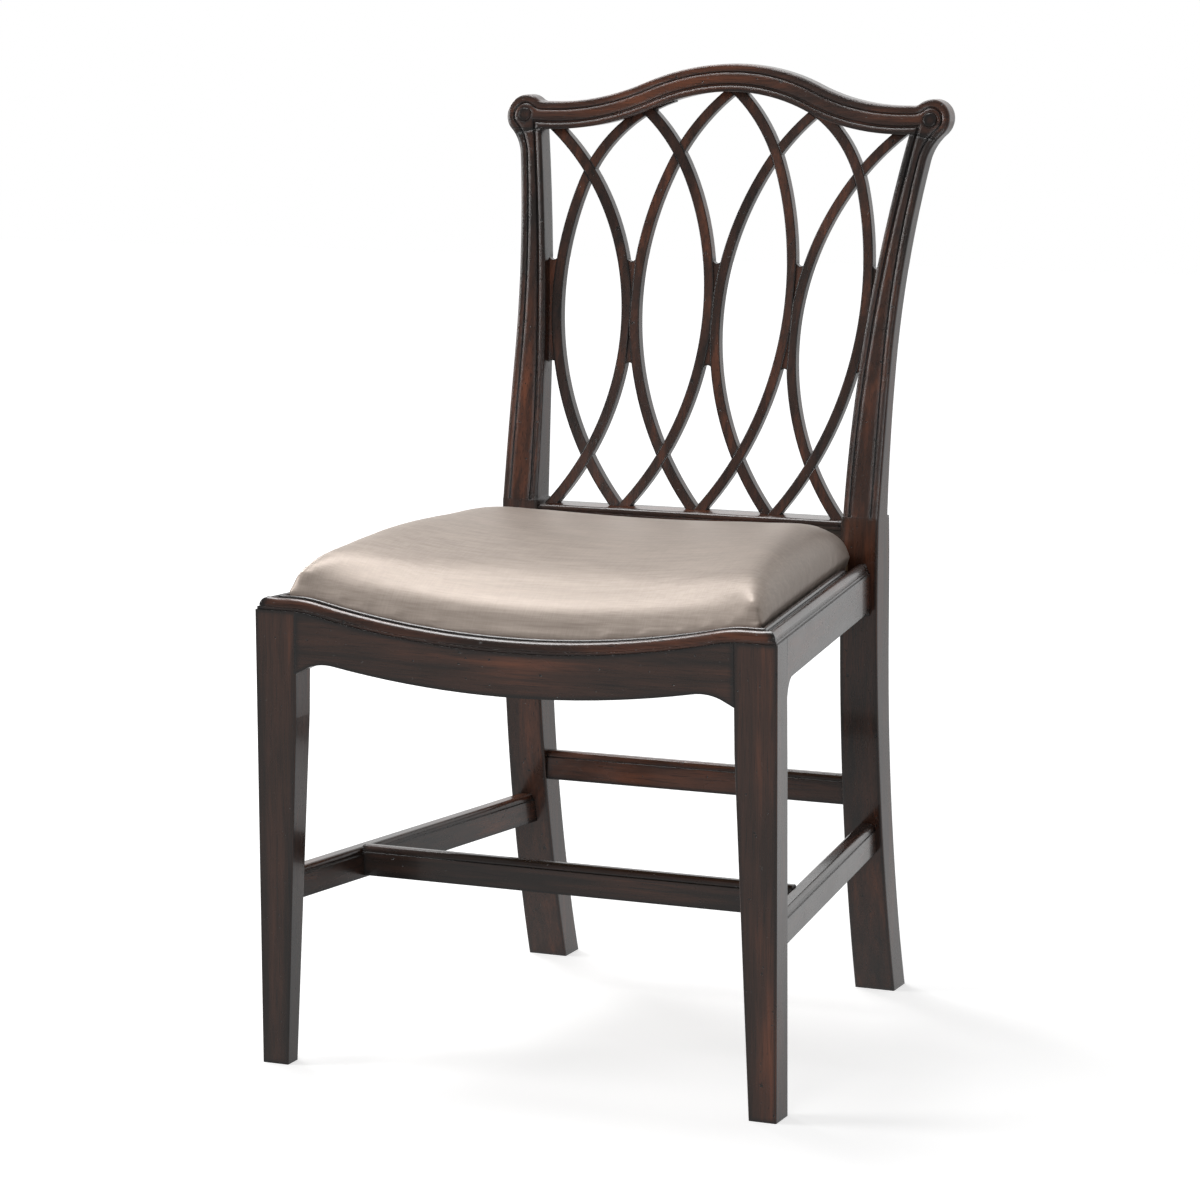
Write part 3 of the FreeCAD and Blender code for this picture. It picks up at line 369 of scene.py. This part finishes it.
def satin():
    """Satin weave with fine slubs along the weft and a soft sheen."""
    m = new_material("satin")
    weft = m.noise(m.place((0.05, 1, 1)), *WEFT)
    warp = m.noise(m.place((1, 0.06, 0.06)), *WARP)
    slubs = m.noise(m.place((0.10, 1, 1)), *SLUBS)
    drift = m.noise(m.place(), *DRIFT)
    thread = m.weighted((weft, 0.6), (warp, 0.4))
    tone = m.weighted((thread, 0.5), (slubs, 0.3), (drift, 0.2))
    m.set(Base_Color=m.ramp(tone, [(0.38, SATIN_DEEP), (0.62, SATIN_LIGHT)]))
    m.set(Roughness=m.ramp(slubs, [(0.2, 0.42), (0.8, 0.50)]))
    m.set(Normal=m.bump(slubs, 0.0003, 0.10, m.bump(thread, 0.00012, 0.35)), **SATIN_GLOSS)
    return m.owner


GRAIN_UP = (0, 0, 0)
GRAIN_ACROSS = (0, math.radians(90), 0)
GRAIN_BACK = (math.radians(90), 0, 0)
GRAIN_BY_NAME = {
    "crest_rail": GRAIN_ACROSS, "lower_back_rail": GRAIN_ACROSS, "front_seat_rail": GRAIN_ACROSS,
    "back_seat_rail": GRAIN_ACROSS, "cross_stretcher": GRAIN_ACROSS, "rear_stretcher": GRAIN_ACROSS,
    "seat_moulding_front": GRAIN_ACROSS, "side_seat_rail": GRAIN_BACK, "side_stretcher": GRAIN_BACK,
    "seat_moulding": GRAIN_BACK,
}
MOULDED = ("crest_rail", "back_post_left", "back_post_right")


def grain_of(name):
    for start in (name, name.rsplit("_", 1)[0]):
        if start in GRAIN_BY_NAME:
            return GRAIN_BY_NAME[start]
    return GRAIN_UP


def finish_nodes():
    """A material for each node of the chair by its slot in the record, where the slot has one here."""
    slots = {s["node"]: s["material_slot"] for s in frame["record"]["subparts"]}
    shared = {"plywood": plywood(), "foam": foam(), "steel": plated_steel()}
    for seed, name in enumerate(sorted(nodes)):
        if slots[name] == "mahogany":
            arris = MOULDED_ARRIS if name in MOULDED else ARRIS
            rim_width = TRELLIS_RIM if name.startswith("trellis") else SHADED_RIM
            material = lacquered_wood("mahogany_" + name, grain_of(name), seed, arris, rim_width)
        elif slots[name] == "block_wood":
            material = bare_wood("hardwood_" + name, GRAIN_ACROSS, seed)
        else:
            material = shared.get(slots[name])
        if material is not None:
            nodes[name].data.materials.clear()
            nodes[name].data.materials.append(material)


def applied(piece, name):
    """The piece's mesh with its modifiers worked in."""
    graph = bpy.context.evaluated_depsgraph_get()
    mesh = bpy.data.meshes.new_from_object(piece.evaluated_get(graph))
    mesh.name = name
    piece.modifiers.clear()
    piece.data = mesh


def filled_form(name, sources):
    """One closed skin around several nodes."""
    whole = bmesh.new()
    for source in sources:
        whole.from_mesh(nodes[source].data)
    mesh = bpy.data.meshes.new(name)
    whole.to_mesh(mesh)
    whole.free()
    piece = bpy.data.objects.new(name, mesh)
    bpy.context.scene.collection.objects.link(piece)
    remesh = piece.modifiers.new("skin", "REMESH")
    remesh.mode = "VOXEL"
    remesh.voxel_size = CUSHION_VOXEL
    applied(piece, name)
    return piece


def held_vertices(piece):
    """Whether each vertex is at the hem or underside, by its height above the panel."""
    panel = nodes["seat_panel"].data
    corners = [v.co for v in panel.vertices]
    tree = BVHTree.FromPolygons(corners, [tuple(p.vertices) for p in panel.polygons])
    held = []
    for v in piece.data.vertices:
        above = v.co.z - tree.find_nearest(v.co)[0].z
        held.append(above < CUSHION_PINNED or v.normal.z < CUSHION_UNDERSIDE)
    return held


def puff(piece, held):
    """Fill the cover: a cloth under pressure, held at its hem."""
    for v, h in zip(piece.data.vertices, held):
        if not h:
            v.co -= v.normal * CUSHION_SHRINK
    start = [v.co.copy() for v in piece.data.vertices]
    cloth = piece.modifiers.new("cloth", "CLOTH")
    cloth.settings.vertex_group_mass = "hem"
    cloth.settings.use_pressure = True
    cloth.settings.uniform_pressure_force = CUSHION_PRESSURE
    cloth.settings.effector_weights.gravity = 0
    scene = bpy.context.scene
    for k in range(1, CUSHION_FRAMES + 1):
        scene.frame_set(k)
    applied(piece, piece.name)
    scene.frame_set(1)
    for v, before in zip(piece.data.vertices, start):
        move = v.co - before
        if move.length > CUSHION_CAP:
            v.co = before + move * (CUSHION_CAP / move.length)


def sink_roll(piece, held):
    """Soften the roll along the front edge, most at the middle."""
    for v, h in zip(piece.data.vertices, held):
        t = (v.co.y - ROLL_FRONT_Y) / ROLL_RUN
        across = 1.0 - (v.co.x / ROLL_HALF) ** 2
        if not h and 0.0 < t < 1.0 and across > 0.0:
            v.co.z -= ROLL_SINK * across * math.sqrt(t) * (1.0 - t) ** ROLL_FADE


def cushion():
    """The slip seat's satin cover."""
    piece = filled_form("satin_cushion", ["seat_cover", "seat_foam"])
    held = held_vertices(piece)
    for name, wanted in (("hem", True), ("free", False)):
        group = piece.vertex_groups.new(name=name)
        group.add([k for k, h in enumerate(held) if h == wanted], 1.0, "REPLACE")
    puff(piece, held)
    sink_roll(piece, held)
    ease = piece.modifiers.new("ease", "SMOOTH")
    ease.factor = CUSHION_EASE_STEP
    ease.iterations = CUSHION_EASE
    ease.vertex_group = "free"
    applied(piece, piece.name)
    finer = piece.modifiers.new("finer", "SUBSURF")
    finer.levels = finer.render_levels = 1
    for polygon in piece.data.polygons:
        polygon.use_smooth = True
    piece.data.materials.clear()
    piece.data.materials.append(satin())
    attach(piece, "slip_seat")
    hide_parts("seat_cover")


def aim(thing, target):
    direction = Vector(target) - thing.location
    thing.rotation_euler = direction.to_track_quat("-Z", "Y").to_euler()


def backdrop():
    """White for the camera; in reflections white behind the chair and dim in front of it."""
    world = bpy.data.worlds.new("studio")
    bpy.context.scene.world = world
    w = Nodes(world, "Background")
    rays = w.add("ShaderNodeLightPath").outputs
    seen = w.math("MAXIMUM", rays["Is Camera Ray"], rays["Is Glossy Ray"])
    seen = w.math("MAXIMUM", seen, rays["Is Transmission Ray"])
    direction = w.add("ShaderNodeTexCoord").outputs["Generated"]
    behind = w.rise(w.part(direction, "Y"), BACKDROP_Y, BACKDROP_LEVEL)
    level = w.add("ShaderNodeMapRange")
    w.feed(level, "Value", seen)
    w.feed(level, "To Min", WORLD_FILL)
    w.feed(level, "To Max", w.math("MAXIMUM", rays["Is Camera Ray"], behind))
    w.set(Color=WHITE, Strength=level.outputs[0])


def pale_floor():
    """Pale floor that keeps the chair's shadow and goes over into the backdrop."""
    mesh = bpy.data.meshes.new("floor")
    corners = [(x * FLOOR_HALF, y * FLOOR_HALF, 0) for x, y in ((-1, -1), (1, -1), (1, 1), (-1, 1))]
    mesh.from_pydata(corners, [], [(0, 1, 2, 3)])
    floor = bpy.data.objects.new("floor", mesh)
    bpy.context.scene.collection.objects.link(floor)
    m = new_material("pale_floor")
    rays = m.add("ShaderNodeLightPath").outputs
    mirrored = m.math("MAXIMUM", rays["Is Glossy Ray"], rays["Is Transmission Ray"])
    m.set(Base_Color=m.mix(mirrored, FLOOR_TONE, FLOOR_TONE_MIRRORED))
    m.set(Roughness=FLOOR_ROUGHNESS, Specular_IOR_Level=0.0)
    place = m.add("ShaderNodeNewGeometry").outputs["Position"]
    away = m.add("ShaderNodeVectorMath", operation="LENGTH")
    m.wire(place, away.inputs[0])
    glow = m.rise(away.outputs["Value"], FLOOR_FADE, FLOOR_GLOW)
    glow = m.math("MULTIPLY", rays["Is Camera Ray"], glow)
    glow_mirrored = m.rise(m.part(place, "Y"), BACKDROP_Y, FLOOR_GLOW_MIRRORED)
    glow_mirrored = m.math("MULTIPLY", mirrored, glow_mirrored)
    m.set(Emission_Color=WHITE, Emission_Strength=m.math("MAXIMUM", glow, glow_mirrored))
    mesh.materials.append(m.owner)


def lamps():
    for name, (place, size, power) in LAMPS.items():
        light = bpy.data.lights.new(name, "AREA")
        light.shape = "DISK"
        light.size = size
        light.energy = power
        lamp = bpy.data.objects.new(name, light)
        lamp.location = place
        bpy.context.scene.collection.objects.link(lamp)
        aim(lamp, LAMPS_AIM)


def camera():
    data = bpy.data.cameras.new("camera")
    data.sensor_width = SENSOR
    data.sensor_fit = "HORIZONTAL"
    data.lens = CAMERA_LENS
    eye = bpy.data.objects.new("camera", data)
    eye.location = CAMERA_AT
    aim(eye, CAMERA_LOOKS_AT)
    turn = eye.rotation_euler.to_matrix() @ Euler((0, 0, CAMERA_ROLL)).to_matrix()
    eye.rotation_euler = turn.to_euler()
    bpy.context.scene.collection.objects.link(eye)
    bpy.context.scene.camera = eye


bpy.context.scene.view_settings.view_transform = "Standard"
finish_nodes()
cushion()
backdrop()
pale_floor()
lamps()
camera()
